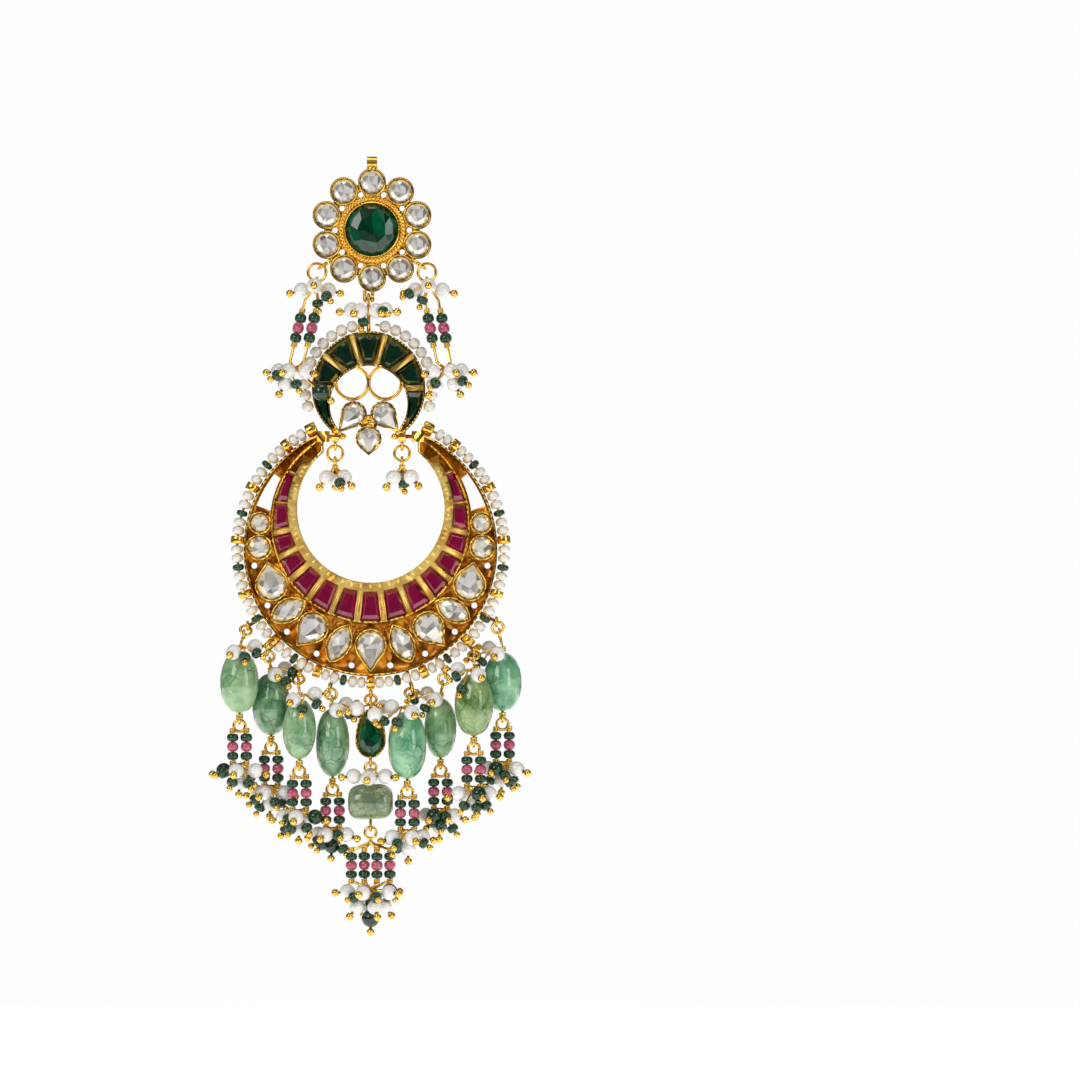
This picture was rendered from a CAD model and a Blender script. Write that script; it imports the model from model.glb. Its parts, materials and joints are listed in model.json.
import bpy, bmesh, json, math, random
from mathutils import Vector, Matrix, noise

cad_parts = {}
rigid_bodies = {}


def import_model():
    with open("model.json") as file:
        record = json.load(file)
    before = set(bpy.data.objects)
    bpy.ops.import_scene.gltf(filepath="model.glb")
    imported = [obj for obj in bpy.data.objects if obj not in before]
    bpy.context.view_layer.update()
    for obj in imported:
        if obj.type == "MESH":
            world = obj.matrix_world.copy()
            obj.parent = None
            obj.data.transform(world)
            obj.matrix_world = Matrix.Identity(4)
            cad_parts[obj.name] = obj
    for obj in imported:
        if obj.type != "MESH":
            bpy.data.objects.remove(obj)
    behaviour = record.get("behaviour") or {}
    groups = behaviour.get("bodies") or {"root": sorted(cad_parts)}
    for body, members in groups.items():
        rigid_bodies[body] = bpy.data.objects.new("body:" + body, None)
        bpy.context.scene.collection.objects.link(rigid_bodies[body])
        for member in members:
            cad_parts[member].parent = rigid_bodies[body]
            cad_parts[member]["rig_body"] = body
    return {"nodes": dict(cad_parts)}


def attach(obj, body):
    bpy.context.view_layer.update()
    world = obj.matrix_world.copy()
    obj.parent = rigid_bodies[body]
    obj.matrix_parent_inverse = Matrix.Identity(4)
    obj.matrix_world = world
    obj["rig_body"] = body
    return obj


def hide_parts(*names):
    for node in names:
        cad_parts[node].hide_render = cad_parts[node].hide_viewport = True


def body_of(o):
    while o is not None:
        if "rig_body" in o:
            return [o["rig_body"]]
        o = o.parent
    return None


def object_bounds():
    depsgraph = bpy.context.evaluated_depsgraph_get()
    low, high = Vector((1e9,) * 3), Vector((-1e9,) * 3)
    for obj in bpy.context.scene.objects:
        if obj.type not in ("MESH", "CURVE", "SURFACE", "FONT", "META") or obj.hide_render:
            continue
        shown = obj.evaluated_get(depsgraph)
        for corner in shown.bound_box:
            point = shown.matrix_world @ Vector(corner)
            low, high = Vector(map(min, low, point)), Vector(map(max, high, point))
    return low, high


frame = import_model()
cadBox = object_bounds()
nodes = frame["nodes"]
mm = 0.001
scene = bpy.context.scene
print("frame loaded")

# Places that the solids were built by, in metres
middleY = -0.0012


# Camera and light

viewSetup = {
    "photoWidth": 1080,        # pixels of the photograph's frame
    "metresPerPixel": 0.15 * mm,
    "studPixel": (372, 230),   # where the middle of the stud stands in it
    "distance": 0.9,
    "keyPower": 0.85,
    "fillPower": 0.42,
    "skyLight": 0.42,
    "floorHeight": -0.162,
    "floorRadius": 0.6,
    "floorSides": 96,
}


def softLight(name, place, aim, size, power, colour=(1, 1, 1)):
    data = bpy.data.lights.new(name, "AREA")
    data.shape = "RECTANGLE"
    data.size, data.size_y = size
    data.energy = power
    data.color = colour
    light = bpy.data.objects.new(name, data)
    light.location = place
    light.rotation_euler = (Vector(aim) - Vector(place)).to_track_quat("-Z", "Y").to_euler()
    scene.collection.objects.link(light)


def paintSky(tree, strength):
    # A studio of bright screens and dark gaps, so that metal has something to mirror
    way = node(tree, "ShaderNodeTexCoord")
    patches = node(tree, "ShaderNodeTexNoise")
    patches.inputs["Scale"].default_value = 2.6
    patches.inputs["Detail"].default_value = 1.0
    tree.links.new(way.outputs["Generated"], patches.inputs["Vector"])
    ramp = colourRamp(tree, patches.outputs["Fac"],
        [(0.40, (0.05, 0.04, 0.03)), (0.52, (0.55, 0.54, 0.52)),
        (0.66, (1.0, 1.0, 1.0))])
    background = tree.nodes["Background"]
    background.inputs["Strength"].default_value = strength
    tree.links.new(ramp.outputs["Color"], background.inputs["Color"])
    # Plain and pale where it is seen directly
    pale = node(tree, "ShaderNodeBackground")
    pale.inputs["Color"].default_value = (0.99, 0.99, 0.99, 1)
    direct = node(tree, "ShaderNodeLightPath")
    both = node(tree, "ShaderNodeMixShader")
    tree.links.new(direct.outputs["Is Camera Ray"], both.inputs[0])
    tree.links.new(background.outputs[0], both.inputs[1])
    tree.links.new(pale.outputs[0], both.inputs[2])
    tree.links.new(both.outputs[0], tree.nodes["World Output"].inputs["Surface"])


def setUpView(v):
    half = v["photoWidth"] / 2
    x = (half - v["studPixel"][0]) * v["metresPerPixel"]
    z = (v["studPixel"][1] - half) * v["metresPerPixel"]
    data = bpy.data.cameras.new("camera")
    data.sensor_width = 36
    data.lens = data.sensor_width * v["distance"] / (v["photoWidth"] * v["metresPerPixel"])
    data.clip_start = 0.01
    camera = bpy.data.objects.new("camera", data)
    camera.location = (x, middleY - v["distance"], z)
    camera.rotation_euler = (math.pi / 2, 0, 0)
    scene.collection.objects.link(camera)
    scene.camera = camera
    aim = (0, 0, -0.055)
    softLight("keyLight", (-0.30, -0.42, 0.22), aim, (0.26, 0.30), v["keyPower"])
    softLight("fillLight", (0.36, -0.40, 0.05), aim, (0.16, 0.34), v["fillPower"])
    softLight("topLight", (0.02, -0.05, 0.38), aim, (0.30, 0.16), v["fillPower"] * 0.8)
    softLight("lowLight", (-0.05, -0.38, -0.30), aim, (0.30, 0.10), v["fillPower"] * 0.35)
    softLight("backLight", (0.24, 0.45, 0.16), aim, (0.30, 0.30), v["fillPower"] * 0.6)
    world = bpy.data.worlds.new("studioSky")
    scene.world = world
    world.use_nodes = True
    paintSky(world.node_tree, v["skyLight"])
    scene.view_settings.view_transform = "Standard"


def makeFloor(v):
    # A pale round floor, clear of every view from the sides
    mesh = bpy.data.meshes.new("studioFloor")
    turns = [2 * math.pi * k / v["floorSides"] for k in range(v["floorSides"])]
    verts = [(v["floorRadius"] * math.cos(t), v["floorRadius"] * math.sin(t),
        v["floorHeight"]) for t in turns]
    mesh.from_pydata(verts, [], [list(range(len(verts)))])
    floor = bpy.data.objects.new("studioFloor", mesh)
    scene.collection.objects.link(floor)
    mesh.materials.append(floorMaterial())


# Materials

def newMaterial(name):
    material = bpy.data.materials.new(name)
    material.use_nodes = True
    tree = material.node_tree
    shader = tree.nodes["Principled BSDF"]
    return material, tree, shader


def node(tree, kind, **values):
    made = tree.nodes.new(kind)
    for key, value in values.items():
        setattr(made, key, value)
    return made


def objectNoise(tree, scale, detail=3.0, kind="ShaderNodeTexNoise"):
    where = node(tree, "ShaderNodeTexCoord")
    texture = node(tree, kind)
    texture.inputs["Scale"].default_value = scale
    if "Detail" in texture.inputs:
        texture.inputs["Detail"].default_value = detail
    tree.links.new(where.outputs["Object"], texture.inputs["Vector"])
    return texture


def colourRamp(tree, source, stops, smooth="LINEAR"):
    ramp = node(tree, "ShaderNodeValToRGB")
    ramp.color_ramp.interpolation = smooth
    while len(ramp.color_ramp.elements) < len(stops):
        ramp.color_ramp.elements.new(0.5)
    for element, (place, colour) in zip(ramp.color_ramp.elements, stops):
        element.position = place
        element.color = (*colour, 1)
    tree.links.new(source, ramp.inputs["Fac"])
    return ramp


def bumpFrom(tree, shader, source, strength, depth):
    bump = node(tree, "ShaderNodeBump")
    bump.inputs["Strength"].default_value = strength
    bump.inputs["Distance"].default_value = depth
    tree.links.new(source, bump.inputs["Height"])
    tree.links.new(bump.outputs["Normal"], shader.inputs["Normal"])


def floorMaterial():
    material, tree, shader = newMaterial("palePaper")
    tone = objectNoise(tree, 4.0)
    ramp = colourRamp(tree, tone.outputs["Fac"], [(0.3, (0.93, 0.93, 0.93)), (0.7, (0.96, 0.96, 0.955))])
    tree.links.new(ramp.outputs["Color"], shader.inputs["Base Color"])
    tree.links.new(ramp.outputs["Color"], shader.inputs["Emission Color"])
    shader.inputs["Emission Strength"].default_value = 0.92
    shader.inputs["Roughness"].default_value = 0.9
    return material


def goldMaterial(name, light, dark, roughness, bumpScale, bumpDepth, strength=0.35):
    material, tree, shader = newMaterial(name)
    tone = objectNoise(tree, 420.0, 4.0)
    ramp = colourRamp(tree, tone.outputs["Fac"], [(0.32, dark), (0.6, light)])
    tree.links.new(ramp.outputs["Color"], shader.inputs["Base Color"])
    shader.inputs["Metallic"].default_value = 1.0
    rough = node(tree, "ShaderNodeMapRange")
    rough.inputs["To Min"].default_value = roughness * 0.7
    rough.inputs["To Max"].default_value = roughness * 1.5
    tree.links.new(tone.outputs["Fac"], rough.inputs["Value"])
    tree.links.new(rough.outputs["Result"], shader.inputs["Roughness"])
    grain = objectNoise(tree, bumpScale, 2.0)
    bumpFrom(tree, shader, grain.outputs["Fac"], strength, bumpDepth)
    return material


def facetTone(tree, stops, scale=7.3):
    # One tone for each flat facet, picked by the way it faces
    geometry = node(tree, "ShaderNodeNewGeometry")
    turned = node(tree, "ShaderNodeVectorTransform", vector_type="NORMAL", convert_from="WORLD",
        convert_to="OBJECT")
    tree.links.new(geometry.outputs["True Normal"], turned.inputs["Vector"])
    spread = node(tree, "ShaderNodeVectorMath", operation="SCALE")
    spread.inputs["Scale"].default_value = scale
    tree.links.new(turned.outputs["Vector"], spread.inputs["Vector"])
    snapped = node(tree, "ShaderNodeVectorMath", operation="SNAP")
    snapped.inputs[1].default_value = (0.35, 0.35, 0.35)
    tree.links.new(spread.outputs["Vector"], snapped.inputs[0])
    pick = node(tree, "ShaderNodeTexWhiteNoise")
    tree.links.new(snapped.outputs["Vector"], pick.inputs["Vector"])
    return colourRamp(tree, pick.outputs["Value"], stops)


def mixColours(tree, share, one, two, blend="MIX"):
    mix = node(tree, "ShaderNodeMix", data_type="RGBA", blend_type=blend)
    if isinstance(share, float):
        mix.inputs["Factor"].default_value = share
    else:
        tree.links.new(share, mix.inputs["Factor"])
    tree.links.new(one, mix.inputs["A"])
    tree.links.new(two, mix.inputs["B"])
    return mix.outputs["Result"]


def stoneMaterial(name, stops, cloud, roughness=0.06, metal=0.0, clear=0.0, cloudShare=0.35, coat=1.0):
    material, tree, shader = newMaterial(name)
    facets = facetTone(tree, stops)
    clouds = objectNoise(tree, 900.0, 3.0)
    tint = colourRamp(tree, clouds.outputs["Fac"], cloud)
    mixed = mixColours(tree, cloudShare, facets.outputs["Color"], tint.outputs["Color"])
    tree.links.new(mixed, shader.inputs["Base Color"])
    shader.inputs["Metallic"].default_value = metal
    shader.inputs["Roughness"].default_value = roughness
    shader.inputs["Coat Weight"].default_value = coat
    shader.inputs["Coat Roughness"].default_value = 0.03
    shader.inputs["Transmission Weight"].default_value = clear
    shader.inputs["IOR"].default_value = 1.6
    return material


def veinedMaterial(name, light, middle, deep, vein):
    # Translucent green stone: clouds, darker flecks and fine healed cracks
    material, tree, shader = newMaterial(name)
    clouds = objectNoise(tree, 330.0, 5.0)
    clouds.inputs["Distortion"].default_value = 0.8
    base = colourRamp(tree, clouds.outputs["Fac"], [(0.33, deep), (0.48, middle), (0.63, light)])
    bend = objectNoise(tree, 260.0, 3.0)
    where = node(tree, "ShaderNodeTexCoord")
    shift = node(tree, "ShaderNodeMix", data_type="VECTOR")
    shift.inputs["Factor"].default_value = 0.0035
    tree.links.new(where.outputs["Object"], shift.inputs["A"])
    tree.links.new(bend.outputs["Color"], shift.inputs["B"])
    cracks = node(tree, "ShaderNodeTexVoronoi", feature="DISTANCE_TO_EDGE")
    cracks.inputs["Scale"].default_value = 700.0
    tree.links.new(shift.outputs["Result"], cracks.inputs["Vector"])
    line = colourRamp(tree, cracks.outputs["Distance"], [(0.0, (1, 1, 1)), (0.07, (0, 0, 0))])
    patches = objectNoise(tree, 190.0, 2.0)
    veined = colourRamp(tree, patches.outputs["Fac"], [(0.42, (0, 0, 0)), (0.6, (0.85, 0.85, 0.85))])
    share = node(tree, "ShaderNodeMath", operation="MULTIPLY")
    tree.links.new(line.outputs["Color"], share.inputs[0])
    tree.links.new(veined.outputs["Color"], share.inputs[1])
    dark = node(tree, "ShaderNodeRGB")
    dark.outputs[0].default_value = (*vein, 1)
    mixed = mixColours(tree, share.outputs[0], base.outputs["Color"], dark.outputs[0])
    tree.links.new(mixed, shader.inputs["Base Color"])
    shader.inputs["Roughness"].default_value = 0.1
    shader.inputs["Coat Weight"].default_value = 1.0
    shader.inputs["Coat Roughness"].default_value = 0.03
    shader.inputs["Subsurface Weight"].default_value = 0.35
    shader.inputs["Subsurface Radius"].default_value = (0.4, 1.0, 0.6)
    shader.inputs["Subsurface Scale"].default_value = 0.0012
    bumpFrom(tree, shader, line.outputs["Color"], 0.15, 0.00004)
    return material


def pearlMaterial(name, light, dark):
    material, tree, shader = newMaterial(name)
    tone = objectNoise(tree, 350.0, 3.0)
    ramp = colourRamp(tree, tone.outputs["Fac"], [(0.3, dark), (0.62, light)])
    tree.links.new(ramp.outputs["Color"], shader.inputs["Base Color"])
    shader.inputs["Roughness"].default_value = 0.18
    shader.inputs["Coat Weight"].default_value = 1.0
    shader.inputs["Coat Roughness"].default_value = 0.04
    shader.inputs["Subsurface Weight"].default_value = 0.15
    shader.inputs["Subsurface Radius"].default_value = (1.0, 0.9, 0.8)
    shader.inputs["Subsurface Scale"].default_value = 0.0006
    bumpFrom(tree, shader, tone.outputs["Fac"], 0.12, 0.00005)
    return material


materials = {
    "gold": goldMaterial("yellowGold", (0.98, 0.66, 0.14), (0.78, 0.42, 0.055), 0.15, 1500.0, 0.00006),
    "shadedGold": goldMaterial("shadedGold", (0.62, 0.27, 0.04), (0.34, 0.12, 0.015), 0.3, 700.0,
        0.0002, 0.5),
    "hammered": goldMaterial("hammeredGold", (1.0, 0.70, 0.20), (0.82, 0.46, 0.09), 0.36, 1100.0,
        0.0002, 0.5),
    "polki": stoneMaterial("polkiStone",
        [(0.0, (0.10, 0.085, 0.07)), (0.18, (0.36, 0.32, 0.27)), (0.4, (0.74, 0.70, 0.62)),
         (0.6, (0.95, 0.93, 0.88)), (1.0, (1.0, 1.0, 0.99))],
        [(0.3, (0.50, 0.44, 0.35)), (0.6, (0.97, 0.95, 0.90))], metal=0.3, cloudShare=0.22),
    "emerald": stoneMaterial("emeraldGlass",
        [(0.0, (0.0, 0.010, 0.005)), (0.4, (0.0, 0.035, 0.014)), (0.75, (0.0, 0.10, 0.04)),
            (1.0, (0.01, 0.20, 0.10))],
        [(0.35, (0.0, 0.015, 0.007)), (0.7, (0.0, 0.10, 0.035))], coat=0.3),
    "darkGreen": stoneMaterial("bottleGreenGlass",
        [(0.0, (0.0, 0.008, 0.003)), (0.6, (0.0, 0.022, 0.009)), (1.0, (0.0, 0.06, 0.024))],
        [(0.35, (0.0, 0.007, 0.003)), (0.75, (0.0, 0.06, 0.024))], coat=0.5),
    "darkBead": stoneMaterial("darkBeadGlass",
        [(0.0, (0.0, 0.014, 0.005)), (1.0, (0.0, 0.05, 0.018))],
        [(0.35, (0.0, 0.010, 0.003)), (0.75, (0.0, 0.08, 0.028))], coat=0.3),
    "ruby": stoneMaterial("rubyGlass",
        [(0.0, (0.13, 0.0, 0.018)), (0.5, (0.24, 0.0, 0.04)), (1.0, (0.38, 0.008, 0.08))],
        [(0.35, (0.14, 0.0, 0.02)), (0.7, (0.34, 0.004, 0.07))]),
    "seedGreen": stoneMaterial("seedGreenGlass",
        [(0.0, (0.0, 0.026, 0.008)), (1.0, (0.0, 0.07, 0.022))],
        [(0.3, (0.0, 0.016, 0.005)), (0.7, (0.0, 0.11, 0.036))], roughness=0.13, coat=0.15),
    "seedRose": stoneMaterial("seedRoseGlass",
        [(0.0, (0.42, 0.025, 0.09)), (1.0, (0.72, 0.12, 0.23))],
        [(0.3, (0.26, 0.012, 0.05)), (0.7, (0.80, 0.20, 0.31))], roughness=0.08, coat=0.6),
    "pearl": pearlMaterial("pearlWhite", (1.0, 0.985, 0.96), (0.90, 0.87, 0.82)),
    "seedPearl": pearlMaterial("seedPearlWhite", (0.99, 0.96, 0.89), (0.86, 0.81, 0.71)),
}
greenStones = {
    "light": veinedMaterial("paleGreenStone", (0.40, 0.60, 0.32), (0.25, 0.46, 0.22),
        (0.11, 0.29, 0.13), (0.04, 0.13, 0.06)),
    "cool": veinedMaterial("seaGreenStone", (0.31, 0.52, 0.29), (0.17, 0.37, 0.18),
        (0.07, 0.22, 0.10), (0.02, 0.09, 0.04)),
    "yellow": veinedMaterial("mossGreenStone", (0.36, 0.50, 0.19), (0.22, 0.37, 0.12),
        (0.11, 0.22, 0.06), (0.05, 0.10, 0.02)),
    "mint": veinedMaterial("mintStone", (0.33, 0.64, 0.37), (0.20, 0.50, 0.27), (0.09, 0.34, 0.18),
        (0.03, 0.17, 0.09)),
    "olive": veinedMaterial("oliveStone", (0.36, 0.44, 0.25), (0.23, 0.32, 0.17), (0.13, 0.20, 0.10),
        (0.07, 0.10, 0.04)),
}
setUpView(viewSetup)
makeFloor(viewSetup)
print("camera, light and materials made")


# Copies of the solids' meshes

def bodyOf(nodeName):
    return body_of(nodes[nodeName])[0]


def mergedCopy(nodeName):
    work = bmesh.new()
    work.from_mesh(nodes[nodeName].data)
    bmesh.ops.remove_doubles(work, verts=work.verts, dist=1e-6)
    bmesh.ops.dissolve_degenerate(work, edges=work.edges, dist=1e-7)
    return work


def asMesh(name, work):
    mesh = bpy.data.meshes.new(name)
    work.to_mesh(mesh)
    work.free()
    return mesh


def softenByAngle(mesh, degrees):
    # Smooth shading that stays crisp at edges over an angle
    mesh.shade_smooth()
    mesh.set_sharp_from_angle(angle=math.radians(degrees))


def addPiece(name, mesh, material, body, replaced):
    piece = bpy.data.objects.new(name, mesh)
    scene.collection.objects.link(piece)
    if material is not None:
        mesh.materials.clear()
        mesh.materials.append(material)
    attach(piece, body)
    if replaced:
        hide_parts(*replaced)
    return piece


def islands(nodeName):
    # The vertices of each loose solid of a node, as lists of places
    work = mergedCopy(nodeName)
    work.verts.ensure_lookup_table()
    seen = set()
    found = []
    for start in work.verts:
        if start.index in seen:
            continue
        seen.add(start.index)
        stack, group = [start], []
        while stack:
            vert = stack.pop()
            group.append(vert.co.copy())
            for edge in vert.link_edges:
                other = edge.other_vert(vert)
                if other.index not in seen:
                    seen.add(other.index)
                    stack.append(other)
        found.append(group)
    work.free()
    return found


def spanOf(points):
    low = Vector([min(p[i] for p in points) for i in range(3)])
    high = Vector([max(p[i] for p in points) for i in range(3)])
    return low, high


def withModifiers(mesh, steps):
    # The mesh after modifiers given as (kind, values), on an object that is removed again
    temp = bpy.data.objects.new("temp", mesh)
    scene.collection.objects.link(temp)
    for kind, values in steps:
        modifier = temp.modifiers.new(kind.lower(), kind)
        for key, value in values.items():
            setattr(modifier, key, value)
    bpy.context.view_layer.update()
    evaluated = temp.evaluated_get(bpy.context.evaluated_depsgraph_get())
    made = bpy.data.meshes.new_from_object(evaluated)
    bpy.data.objects.remove(temp)
    return made


# Gold work

goldFinish = {
    "crispEdges": 32,       # degrees
    "softWireEdges": 60,
    "rimInner": 11.1,       # hammered rim of the large crescent's hole, mm
    "rimWidth": 1.35,
    "rimCentre": (-0.2, -47.9 + 6.08),
    "barTop": -2.224,       # y of the bars between the red panels
    "smallBarTop": -2.256,
    "floorY": -0.25,        # y of the plate under the stones
}
plainGold = ["stud_frame", "ear_post", "side_rings", "small_crescent_frame", "small_bunch_pins",
    "tip_rings", "drop_rings", "emerald_drop_frame"]
# Thin pins that the solids keep few-sided, rounded here
facetedGold = ["side_pins", "drop_pins_left", "drop_pins_right", "foot_pins_left", "foot_pins_right",
    "barrel_pin", "tail_pins"]


def flattenPlates(mesh):
    # Plain backs stay flat
    for face in mesh.polygons:
        if face.normal.y > 0.9999:
            face.use_smooth = False


def makeGold(v):
    for name in plainGold:
        mesh = asMesh(name + "Gold", mergedCopy(name))
        softenByAngle(mesh, v["crispEdges"])
        if name.endswith("_frame"):
            flattenPlates(mesh)
        addPiece(name + "Gold", mesh, materials["gold"], bodyOf(name), [name])
    for name in facetedGold:
        mesh = asMesh(name + "Gold", mergedCopy(name))
        softenByAngle(mesh, v["softWireEdges"])
        addPiece(name + "Gold", mesh, materials["gold"], bodyOf(name), [name])
    small = bpy.data.objects["small_crescent_frameGold"].data
    small.materials.append(materials["hammered"])
    for face in small.polygons:
        if abs(face.center.y - v["smallBarTop"] * mm) < 0.01 * mm:
            face.material_index = 1
    mesh = asMesh("bigCrescentGold", mergedCopy("big_crescent_frame"))
    softenByAngle(mesh, v["crispEdges"])
    flattenPlates(mesh)
    piece = addPiece("bigCrescentGold", mesh, materials["gold"], bodyOf("big_crescent_frame"),
        ["big_crescent_frame"])
    mesh.materials.append(materials["hammered"])
    mesh.materials.append(materials["shadedGold"])
    cx, cz = (c * mm for c in v["rimCentre"])
    limit = (v["rimInner"] + v["rimWidth"]) * mm
    for face in mesh.polygons:
        middle = face.center
        if math.hypot(middle.x - cx, middle.z - cz) < limit and middle.z < cz + 0.6 * limit:
            face.material_index = 1
        elif abs(middle.y - v["barTop"] * mm) < 0.01 * mm:
            face.material_index = 1
        elif v["floorY"] * mm < middle.y < 0.3 * mm and abs(face.normal.y) > 0.9:
            face.material_index = 2
    return piece


makeGold(goldFinish)
print("gold work made")


# Round pearls and beads that the solids hold one by one

pearlNodes = ["side_pearls", "small_bunch_pearls", "tip_pearls", "drop_pearls_left", "drop_pearls_right",
    "foot_pearls_left", "foot_pearls_right", "barrel_pearls", "tail_pearls"]


# Beads of the bunches that are dark green, counted in the order of the solids
darkBeads = {
    "foot_pearls_left": (3, 11, 19),
    "foot_pearls_right": (5, 10, 15),
    "tail_pearls": (3,),
}


def makePearls():
    for name in pearlNodes:
        mesh = asMesh(name + "Round", mergedCopy(name))
        softenByAngle(mesh, 40)
        addPiece(name + "Round", mesh, materials["pearl"], bodyOf(name), [name])
        if name not in darkBeads:
            continue
        mesh.materials.append(materials["darkBead"])
        centres = [(spanOf(g)[0] + spanOf(g)[1]) / 2 for g in islands(name)]
        for face in mesh.polygons:
            nearest = min(range(len(centres)), key=lambda k: (centres[k] - face.center).length)
            face.material_index = 1 if nearest in darkBeads[name] else 0


makePearls()
for name in ("tail_bead", "side_bead"):
    mesh = asMesh(name + "Round", mergedCopy(name))
    softenByAngle(mesh, 40)
    addPiece(name + "Round", mesh, materials["darkBead"], bodyOf(name), [name])
print("pearls made")


# Cut stones, built again with more facets inside the outline of each solid

stoneCut = {
    "waist": 0.84,          # share of the outline kept at the middle ring
    "table": 0.56,
    "waistRise": 0.55,      # share of the stone's height over the girdle
    "fanDrop": 0.10,        # how far the table's folded middle lies lower
    "tableSides": 7,
}


def outlineOf(points):
    # Convex outline in x and z, anticlockwise seen from the front
    flat = sorted({(round(p.x, 7), round(p.z, 7)) for p in points})

    def chain(order):
        kept = []
        for p in order:
            while len(kept) > 1 and ((kept[-1][0] - kept[-2][0]) * (p[1] - kept[-2][1])
                    - (kept[-1][1] - kept[-2][1]) * (p[0] - kept[-2][0])) <= 1e-12:
                kept.pop()
            kept.append(p)
        return kept[:-1]

    return chain(flat) + chain(flat[::-1])


def stoneInto(work, points, v, seed):
    rng = random.Random(seed)
    outline = outlineOf(points)
    low, high = spanOf(points)
    girdle = low.y + 0.45 * (high.y - low.y)
    top = low.y
    cx = sum(p[0] for p in outline) / len(outline)
    cz = sum(p[1] for p in outline) / len(outline)

    def ring(places, share, y):
        return [work.verts.new((cx + (x - cx) * share, y, cz + (z - cz) * share)) for x, z in places]

    count = len(outline)
    halves = [((outline[i][0] + outline[(i + 1) % count][0]) / 2,
        (outline[i][1] + outline[(i + 1) % count][1]) / 2)
        for i in range(count)]
    back = ring(outline, 0.97, high.y)
    edge = ring(outline, 1.0, girdle)
    waist = ring(halves, v["waist"], girdle + (top - girdle) * v["waistRise"])
    sides = min(v["tableSides"], count)
    picks = [round(k * count / sides + rng.uniform(-0.3, 0.3)) % count for k in range(sides)]
    picks = sorted(set(picks))
    table = ring([outline[k] for k in picks], v["table"], top)
    work.faces.new(back)
    for i in range(count):
        j = (i + 1) % count
        work.faces.new((back[j], back[i], edge[i], edge[j]))
        work.faces.new((edge[j], edge[i], waist[i]))
        work.faces.new((edge[j], waist[i], waist[j]))
    # Crown between the waist and the table
    for k, pick in enumerate(picks):
        following = picks[(k + 1) % len(picks)]
        step = pick
        while step != following:
            after = (step + 1) % count
            if after == following:
                work.faces.new((waist[step], table[k], table[(k + 1) % len(picks)]))
                work.faces.new((waist[step], table[(k + 1) % len(picks)], waist[after]))
            else:
                work.faces.new((waist[step], table[k], waist[after]))
            step = after
    reach = min(high.x - low.x, high.z - low.z)
    middle = work.verts.new((cx + rng.uniform(-0.05, 0.05) * reach, top + v["fanDrop"] * (girdle - top),
        cz - 0.08 * reach))
    for k in range(len(table)):
        work.faces.new((table[k], table[(k + 1) % len(table)], middle))


def makeStones(name, material, v=stoneCut):
    work = bmesh.new()
    for index, group in enumerate(islands(name)):
        stoneInto(work, group, v, f"{name}{index}")
    bmesh.ops.recalc_face_normals(work, faces=work.faces)
    bmesh.ops.triangulate(work, faces=work.faces)
    mesh = asMesh(name + "Cut", work)
    return addPiece(name + "Cut", mesh, material, bodyOf(name), [name])


for name in ("stud_polki", "trefoil_polki", "big_crescent_polki"):
    makeStones(name, materials["polki"])
for name in ("stud_emerald", "emerald_drop"):
    makeStones(name, materials["emerald"])


def makeFlatCopies(name, material):
    mesh = asMesh(name + "Flat", mergedCopy(name))
    mesh.shade_flat()
    addPiece(name + "Flat", mesh, material, bodyOf(name), [name])


makeFlatCopies("small_crescent_emeralds", materials["darkGreen"])
makeFlatCopies("big_crescent_rubies", materials["ruby"])
print("stones cut")


# Tumbled beads: water-worn, never quite even

tumbledShape = {
    "grain": 0.22 * mm,      # size of the mesh
    "dents": 0.16 * mm,      # deepest dent under the solid's surface
    "dentScale": 260.0,
    "tones": ["light", "cool", "light", "cool", "mint", "light", "yellow", "mint"],
}


def wornMesh(name, nodeName, v, seed):
    rough = asMesh(name, mergedCopy(nodeName))
    smooth = withModifiers(rough, [
        ("REMESH", {"mode": "VOXEL", "voxel_size": v["grain"]}),
        ("SMOOTH", {"factor": 0.5, "iterations": 6})])
    smooth.name = name
    offset = Vector((seed * 3.1, seed * 1.7, seed * 0.9))
    moved = []
    for vert in smooth.vertices:
        level = 0.5 + 0.5 * noise.noise(vert.co * v["dentScale"] + offset)
        moved.append(vert.co - vert.normal * level * v["dents"])
    for vert, place in zip(smooth.vertices, moved):
        vert.co = place
    smooth.shade_smooth()
    return smooth


def makeTumbled(v):
    for index, tone in enumerate(v["tones"]):
        nodeName = f"tumbled_bead_{index + 1}"
        mesh = wornMesh(nodeName + "Worn", nodeName, v, index + 1)
        addPiece(nodeName + "Worn", mesh, greenStones[tone], bodyOf(nodeName), [nodeName])
    mesh = wornMesh("barrelWorn", "barrel_bead", v, 12)
    addPiece("barrelWorn", mesh, greenStones["olive"], bodyOf("barrel_bead"), ["barrel_bead"])


makeTumbled(tumbledShape)
print("tumbled beads made")


# Two node groups: beads set on places, and round wire along paths

def newGroup(name, sockets):
    group = bpy.data.node_groups.new(name, "GeometryNodeTree")
    group.interface.new_socket("Geometry", in_out="INPUT", socket_type="NodeSocketGeometry")
    for label, kind, value in sockets:
        made = group.interface.new_socket(label, in_out="INPUT", socket_type=kind)
        if value is not None:
            made.default_value = value
    group.interface.new_socket("Geometry", in_out="OUTPUT", socket_type="NodeSocketGeometry")
    return group, group.nodes.new("NodeGroupInput"), group.nodes.new("NodeGroupOutput")


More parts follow.
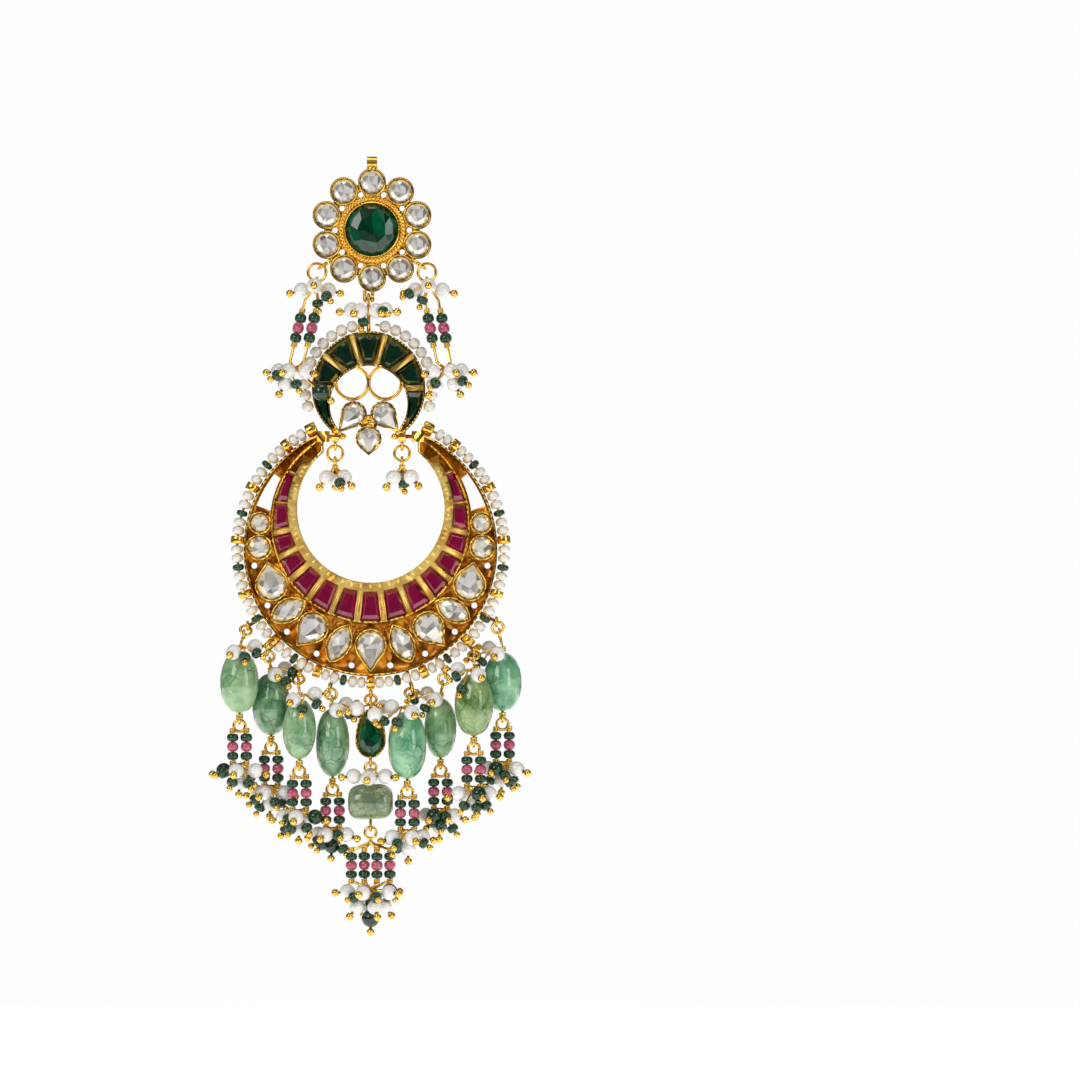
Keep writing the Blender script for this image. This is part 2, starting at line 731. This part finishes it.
def makeBeadTree():
    tree, given, out = newGroup("beadTree", [
        ("Bead", "NodeSocketObject", None), ("Material", "NodeSocketMaterial", None),
        ("Unevenness", "NodeSocketFloat", 0.05), ("Seed", "NodeSocketInt", 1)])
    link = tree.links.new
    points = node(tree, "GeometryNodeMeshToPoints")
    bead = node(tree, "GeometryNodeObjectInfo")
    bead.inputs["As Instance"].default_value = True
    axis = node(tree, "GeometryNodeInputNamedAttribute", data_type="FLOAT_VECTOR")
    axis.inputs["Name"].default_value = "axis"
    size = node(tree, "GeometryNodeInputNamedAttribute", data_type="FLOAT_VECTOR")
    size.inputs["Name"].default_value = "size"
    turn = node(tree, "FunctionNodeAlignRotationToVector", axis="Z")
    least = node(tree, "ShaderNodeMath", operation="SUBTRACT")
    least.inputs[0].default_value = 1.0
    spread = node(tree, "FunctionNodeRandomValue", data_type="FLOAT")
    spread.inputs[3].default_value = 1.0
    grown = node(tree, "ShaderNodeVectorMath", operation="SCALE")
    place = node(tree, "GeometryNodeInstanceOnPoints")
    real = node(tree, "GeometryNodeRealizeInstances")
    paint = node(tree, "GeometryNodeSetMaterial")
    link(given.outputs["Geometry"], points.inputs["Mesh"])
    link(given.outputs["Bead"], bead.inputs["Object"])
    link(axis.outputs[0], turn.inputs["Vector"])
    link(given.outputs["Unevenness"], least.inputs[1])
    link(least.outputs[0], spread.inputs[2])
    link(given.outputs["Seed"], spread.inputs["Seed"])
    link(size.outputs[0], grown.inputs[0])
    link(spread.outputs[1], grown.inputs["Scale"])
    link(points.outputs["Points"], place.inputs["Points"])
    link(bead.outputs["Geometry"], place.inputs["Instance"])
    link(turn.outputs[0], place.inputs["Rotation"])
    link(grown.outputs["Vector"], place.inputs["Scale"])
    link(place.outputs["Instances"], real.inputs["Geometry"])
    link(real.outputs["Geometry"], paint.inputs["Geometry"])
    link(given.outputs["Material"], paint.inputs["Material"])
    link(paint.outputs["Geometry"], out.inputs["Geometry"])
    return tree


def makeWireTree():
    tree, given, out = newGroup("wireTree", [
        ("Radius", "NodeSocketFloat", 0.2 * mm), ("Sides", "NodeSocketInt", 12),
        ("Material", "NodeSocketMaterial", None)])
    link = tree.links.new
    path = node(tree, "GeometryNodeMeshToCurve")
    profile = node(tree, "GeometryNodeCurvePrimitiveCircle")
    tube = node(tree, "GeometryNodeCurveToMesh")
    tube.inputs["Fill Caps"].default_value = True
    real = node(tree, "GeometryNodeRealizeInstances")
    paint = node(tree, "GeometryNodeSetMaterial")
    link(given.outputs["Geometry"], path.inputs["Mesh"])
    link(given.outputs["Radius"], profile.inputs["Radius"])
    link(given.outputs["Sides"], profile.inputs["Resolution"])
    link(path.outputs["Curve"], tube.inputs["Curve"])
    link(profile.outputs["Curve"], tube.inputs["Profile Curve"])
    link(tube.outputs["Mesh"], real.inputs["Geometry"])
    link(real.outputs["Geometry"], paint.inputs["Geometry"])
    link(given.outputs["Material"], paint.inputs["Material"])
    link(paint.outputs["Geometry"], out.inputs["Geometry"])
    return tree


beadTree = makeBeadTree()
wireTree = makeWireTree()


def grownMesh(name, base, tree, values):
    temp = bpy.data.objects.new("temp", base)
    scene.collection.objects.link(temp)
    modifier = temp.modifiers.new("grow", "NODES")
    modifier.node_group = tree
    for item in tree.interface.items_tree:
        if item.item_type == "SOCKET" and item.in_out == "INPUT" and item.name in values:
            modifier[item.identifier] = values[item.name]
    temp.update_tag()
    bpy.context.view_layer.update()
    made = bpy.data.meshes.new_from_object(temp.evaluated_get(bpy.context.evaluated_depsgraph_get()))
    made.name = name
    bpy.data.objects.remove(temp)
    made.shade_smooth()
    return made


def beadShape(name, holeShare, exponent, around=20, across=8):
    # Drilled bead of radius 1 and half length 1, hole along Z
    work = bmesh.new()
    profile = []
    for i in range(across + 1):
        angle = -math.pi / 2 + math.pi * i / across
        c, s = math.cos(angle), math.sin(angle)
        out = holeShare + (1 - holeShare) * max(c, 0.0) ** (2 / exponent)
        profile.append((out, math.copysign(abs(s) ** (2 / exponent), s)))
    rings = []
    for k in range(around):
        turn = 2 * math.pi * k / around
        rings.append([work.verts.new((r * math.cos(turn), r * math.sin(turn), z)) for r, z in profile])
    for k in range(around):
        one, two = rings[k], rings[(k + 1) % around]
        for i in range(across + 1):
            j = (i + 1) % (across + 1)
            work.faces.new((one[i], two[i], two[j], one[j]))
    bmesh.ops.recalc_face_normals(work, faces=work.faces)
    shape = bpy.data.objects.new(name, asMesh(name, work))
    scene.collection.objects.link(shape)
    return shape


def pointsMesh(rows):
    # Rows of place, direction and size (across, across, along), in metres
    mesh = bpy.data.meshes.new("places")
    mesh.from_pydata([row[0] for row in rows], [], [])
    for name, column in (("axis", 1), ("size", 2)):
        layer = mesh.attributes.new(name, "FLOAT_VECTOR", "POINT")
        layer.data.foreach_set("vector", [c for row in rows for c in row[column]])
    return mesh


shapes = {
    "disc": beadShape("discShape", 0.24, 2.4),
    "tube": beadShape("tubeShape", 0.34, 7.0),
    "rondelle": beadShape("rondelleShape", 0.26, 2.5),
    "seed": beadShape("seedShape", 0.24, 2.2),
    "ball": beadShape("ballShape", 0.12, 2.0, 14, 7),
}


def addBeads(name, rows, shape, material, body, replaced, seed=1, uneven=0.05):
    mesh = grownMesh(name, pointsMesh(rows), beadTree,
        {"Bead": shapes[shape], "Material": material, "Unevenness": uneven, "Seed": seed})
    return addPiece(name, mesh, None, body, replaced)


def addWires(name, paths, radius, material, body, closed=False, sides=12, replaced=()):
    verts, edges = [], []
    for path in paths:
        first = len(verts)
        verts += path
        edges += [(first + i, first + i + 1) for i in range(len(path) - 1)]
        if closed:
            edges.append((len(verts) - 1, first))
    base = bpy.data.meshes.new("paths")
    base.from_pydata(verts, edges, [])
    mesh = grownMesh(name, base, wireTree, {"Radius": radius, "Sides": sides, "Material": material})
    return addPiece(name, mesh, None, body, list(replaced))


# Twisted ring round the middle stone

ropeRing = {"radius": 4.63 * mm, "out": 1.82 * mm, "strand": 0.24 * mm, "offset": 0.2 * mm, "twists": 26}


def makeRope(v):
    paths = []
    steps = v["twists"] * 10
    for start in (0, math.pi):
        path = []
        for i in range(steps):
            turn = 2 * math.pi * i / steps
            twist = start + turn * v["twists"]
            r = v["radius"] + v["offset"] * math.cos(twist)
            path.append((r * math.cos(turn), -v["out"] - v["offset"] * math.sin(twist),
                r * math.sin(turn)))
        paths.append(path)
    addWires("ropeRing", paths, v["strand"], materials["gold"], "stud", closed=True)


makeRope(ropeRing)
print("twisted ring made")


# Bead strings round the rims

bigString = {
    "centre": (-0.2, -47.9),
    "radius": 20.02,
    "span": (-245, 66),      # degrees, right to left under the rim
    "period": 23.5,          # degrees from one gold bead to the next
    "beads": {"pearl": (0.93, 0.62), "green": (0.90, 0.50), "gold": (1.0, 0.60)},   # radius, half length
    "unevenness": 0.07,
    "endTube": 0.85,         # half the length of the gold tube at each end
}
smallString = {"centre": (-0.5, -23.69), "radius": 9.52, "span": (-22, 84), "pitch": 10.2,
    "bead": (0.9, 0.80)}


def rimPlace(centre, radius, degrees):
    turn = math.radians(degrees)
    place = ((centre[0] + radius * math.cos(turn)) * mm, middleY,
        (centre[1] + radius * math.sin(turn)) * mm)
    return place, (-math.sin(turn), 0, math.cos(turn))


def rimPath(centre, radius, start, end):
    count = max(2, int(abs(end - start) / 3))
    return [rimPlace(centre, radius, start + (end - start) * i / count)[0] for i in range(count + 1)]


def makeBigString(v):
    step = v["period"] / 6
    rows = {"pearl": [], "green": [], "gold": []}
    rng = random.Random(5)
    k = math.ceil((v["span"][0] + 0.5 * step + 90) / step)
    for end, inward in ((v["span"][0], 1), (v["span"][1], -1)):
        place, direction = rimPlace(v["centre"], v["radius"], end + inward * v["endTube"] * 1.6)
        rows["gold"].append((place, direction, (1.0 * mm, 1.0 * mm, v["endTube"] * mm)))
    k += 1
    while -90 + k * step < v["span"][1] - 1.2 * step:
        kind = {0: "gold", 3: "green"}.get(k % 6, "pearl")
        place, direction = rimPlace(v["centre"], v["radius"], -90 + k * step + rng.uniform(-0.15, 0.15))
        radius, half = v["beads"][kind]
        half *= rng.uniform(0.94, 1.06)
        rows[kind].append((place, direction, (radius * mm, radius * mm, half * mm)))
        k += 1
    body = "large_crescent"
    addBeads("bigStringPearls", rows["pearl"], "disc", materials["seedPearl"], body, ["big_edge_string"],
        3, v["unevenness"])
    addBeads("bigStringGreens", rows["green"], "rondelle", materials["seedGreen"], body,
        ["big_edge_string"],
        4, v["unevenness"])
    addBeads("bigStringGold", rows["gold"], "tube", materials["gold"], body, ["big_edge_string"],
        5, 0.02)
    addWires("bigStringThread", [rimPath(v["centre"], v["radius"], *v["span"])], 0.2 * mm,
        materials["gold"], body,
        sides=8, replaced=["big_edge_string"])


def makeSmallString(v):
    rows = []
    paths = []
    for side in (1, -1):
        angles = []
        angle = v["span"][0] + v["pitch"] / 2
        while angle < v["span"][1]:
            angles.append(angle)
            angle += v["pitch"]
        for angle in angles:
            shown = angle if side > 0 else 180 - angle
            place, direction = rimPlace(v["centre"], v["radius"], shown)
            rows.append((place, direction, (v["bead"][0] * mm, v["bead"][0] * mm, v["bead"][1] * mm)))
        ends = v["span"] if side > 0 else tuple(180 - a for a in v["span"])
        paths.append(rimPath(v["centre"], v["radius"], *ends))
    addBeads("smallStringPearls", rows, "seed", materials["seedPearl"], "small_crescent",
        ["small_edge_string"],
        7, 0.05)
    addWires("smallStringThread", paths, 0.18 * mm, materials["gold"], "small_crescent", sides=8,
        replaced=["small_edge_string"])


makeBigString(bigString)
makeSmallString(smallString)
print("edge strings made")


# Seed strands: three beads on each thread

strandBeads = {
    "order": ["seedGreen", "seedRose", "seedGreen"],
    "lengths": [0.31, 0.38, 0.31],     # shares of the strand
    "radius": {"seedGreen": 0.90, "seedRose": 0.88},
    "coil": {"radius": 0.36, "length": 0.62, "turns": 2.5, "wire": 0.13},
}
beadCoil = {"radius": 0.40, "length": 0.60, "turns": 2.5, "wire": 0.15}


def coilPath(start, way, v):
    # A wire wound round a pin, from the bead outwards
    side = way.cross(Vector((0, 1, 0.2))).normalized()
    other = way.cross(side)
    steps = int(v["turns"] * 12)
    path = []
    for i in range(steps + 1):
        turn = 2 * math.pi * v["turns"] * i / steps
        rise = (0.12 + v["length"] * i / steps) * mm
        outward = side * math.cos(turn) + other * math.sin(turn)
        path.append(start + way * rise + outward * v["radius"] * mm)
    return path


def axisOf(points):
    centre = sum(points, Vector()) / len(points)
    direction = Vector((0.05, 0.1, 1)).normalized()
    for _ in range(30):
        pulled = Vector()
        for p in points:
            pulled += (p - centre) * (p - centre).dot(direction)
        direction = pulled.normalized()
    reach = [(p - centre).dot(direction) for p in points]
    if direction.z > 0:
        direction = -direction
        reach = [-r for r in reach]
    return centre, direction, min(reach), max(reach)


def makeStrands(v):
    for name in ("side_strands", "seed_strands_left", "seed_strands_right", "tail_strands"):
        rows = {"seedGreen": [], "seedRose": []}
        coils = []
        for group in islands(name):
            centre, direction, near, far = axisOf(group)
            coils.append(coilPath(centre + direction * near, -direction, v["coil"]))
            coils.append(coilPath(centre + direction * far, direction, v["coil"]))
            along = near
            for kind, share in zip(v["order"], v["lengths"]):
                length = share * (far - near)
                place = centre + direction * (along + length / 2)
                radius = v["radius"][kind] * mm
                rows[kind].append((place, direction, (radius, radius, length * 0.5)))
                along += length
        addWires(name + "Coils", coils, v["coil"]["wire"] * mm, materials["gold"], bodyOf(name),
            sides=8)
        for kind, shape in (("seedGreen", "rondelle"), ("seedRose", "seed")):
            addBeads(name + kind, rows[kind], shape, materials[kind], bodyOf(name), [name],
                9, 0.04)


makeStrands(strandBeads)


def makeBeadCoils(v):
    # Coils over and under each tumbled bead
    coils = []
    for index in range(8):
        low, high = spanOf(islands(f"tumbled_bead_{index + 1}")[0])
        middle = (low + high) / 2
        coils.append(coilPath(Vector((middle.x, middle.y, high.z)), Vector((0, 0, 1)), v))
        coils.append(coilPath(Vector((middle.x, middle.y, low.z)), Vector((0, 0, -1)), v))
    addWires("beadCoils", coils, v["wire"] * mm, materials["gold"], "large_crescent", sides=8)


makeBeadCoils(beadCoil)

# Small green seeds on their own pins between the pearls of each bunch

seedBunches = {
    # node: pearls in its bunches, green seeds added to each,
    # how far the bunch's middle lies above its pearls, mm
    "foot_pearls_left": ([5] * 4, 4, 1.1),
    "foot_pearls_right": ([5] * 4, 4, 1.1),
    "drop_pearls_left": ([2] * 4, 2, 0.5),
    "drop_pearls_right": ([2] * 4, 2, 0.5),
    "tip_pearls": ([3] * 2, 1, 1.7),
    "small_bunch_pearls": ([4], 2, 0.6),
    "side_pearls": ([3, 4, 3, 5], 2, 0.9),
    "tail_pearls": ([9], 4, 1.2),
}
seedPins = {
    "reach": (1.7, 3.5),
    "turn": (-110, 110),     # degrees round the bunch, 0 to the front
    "fall": (15, 85),        # degrees below the level
    "seed": 0.88,
    "seedHalf": 0.62,
    "ball": 0.52,
    "wire": 0.14,
    "seedSink": 0.4,         # how far a seed or a ball may come into its neighbour's round, mm
    "ballSink": 0.25,
    "pearl": 1.15,
    "barrel": 2.9,
    "tries": 160,
}


def makeSeedPins(v):
    taken = []
    for name in pearlNodes:
        taken += [((spanOf(g)[0] + spanOf(g)[1]) / 2, v["pearl"] * mm) for g in islands(name)]
    for index in range(8):
        low, high = spanOf([Vector(p) for g in islands(f"tumbled_bead_{index + 1}") for p in g])
        for share in (-0.6, -0.3, 0, 0.3, 0.6):
            middle = (low + high) / 2
            middle.z += share * (high.z - low.z) / 2
            taken.append((middle, (high.x - low.x) / 2 * math.sqrt(1 - share * share)))
    low, high = spanOf([Vector(p) for g in islands("barrel_bead") for p in g])
    taken += [((low + high) / 2 + Vector((x * mm, 0, 0)), v["barrel"] * mm) for x in (-1.5, 0, 1.5)]
    rows, balls, paths = {}, {}, {}
    for name, (held, added, up) in seedBunches.items():
        rng = random.Random(name)
        centres = [(spanOf(g)[0] + spanOf(g)[1]) / 2 for g in islands(name)]
        for count in held:
            group, centres = centres[:count], centres[count:]
            start = sum(group, Vector()) / len(group) + Vector((0, 0, up * mm))
            made = 0
            for _ in range(v["tries"]):
                if made == added:
                    break
                turn = math.radians(rng.uniform(*v["turn"]))
                fall = math.radians(rng.uniform(*v["fall"]))
                level = math.cos(fall)
                way = Vector((level * math.sin(turn), -level * math.cos(turn), -math.sin(fall)))
                place = start + way * rng.uniform(*v["reach"]) * mm
                end = place + way * (v["seedHalf"] + v["ball"]) * mm
                if end.y < cadBox[0][1] + v["ball"] * mm:
                    continue
                near = min((place - c).length - r for c, r in taken)
                endNear = min((end - c).length - r for c, r in taken)
                if near < (v["seed"] - v["seedSink"]) * mm or endNear < (v["ball"] - v["ballSink"]) * mm:
                    continue
                made += 1
                taken.append((place, v["seed"] * mm))
                body = bodyOf(name)
                size = (v["seed"] * mm, v["seed"] * mm, v["seedHalf"] * mm)
                rows.setdefault(body, []).append((place, way, size))
                balls.setdefault(body, []).append((end, way, (v["ball"] * mm,) * 3))
                paths.setdefault(body, []).append([start, place, end])
    for body in rows:
        addBeads(body + "SeedGreens", rows[body], "rondelle", materials["seedGreen"], body, [],
            11)
        addBeads(body + "SeedBalls", balls[body], "ball", materials["gold"], body, [], 12, 0.1)
        addWires(body + "SeedPins", paths[body], v["wire"] * mm, materials["gold"], body,
            sides=8)


makeSeedPins(seedPins)
print("green seeds added to the bunches")


# Three pearls on pins from the upper eye of the emerald drop
crownPearls = {
    # pearl's middle and the gold ball at its pin's end, mm from the eye: across, out, up
    "places": [((0.7, 2.9, -1.5), (0.85, 3.9, -2.7)), ((-2.0, 1.7, -0.6), (-3.3, 2.5, -1.1)),
        ((1.9, -1.4, -0.5), (2.7, -2.3, -1.4))],
    "pearl": 1.15,
    "ball": 0.55,
    "wire": 0.16,
    "eyeDown": 0.84,
}


def makeCrownPearls(v):
    low, high = spanOf(islands("emerald_drop_frame")[0])
    start = Vector(((low.x + high.x) / 2, (low.y + high.y) / 2, high.z - v["eyeDown"] * mm))
    body = bodyOf("emerald_drop_frame")
    rows, balls, paths = [], [], []
    for pearl, ball in v["places"]:
        place, end = (start + Vector((x, -y, z)) * mm for x, y, z in (pearl, ball))
        rows.append((place, (end - place).normalized(), (v["pearl"] * mm,) * 3))
        balls.append((end, (end - place).normalized(), (v["ball"] * mm,) * 3))
        paths.append([start, place, end])
    addBeads("crownPearls", rows, "ball", materials["pearl"], body, [], 21, 0.02)
    addBeads("crownBalls", balls, "ball", materials["gold"], body, [], 22, 0.1)
    addWires("crownPins", paths, v["wire"] * mm, materials["gold"], body, sides=8)


makeCrownPearls(crownPearls)
print("pearls of the emerald drop added")
for shape in shapes.values():
    bpy.data.objects.remove(shape)
print("seed strands made")
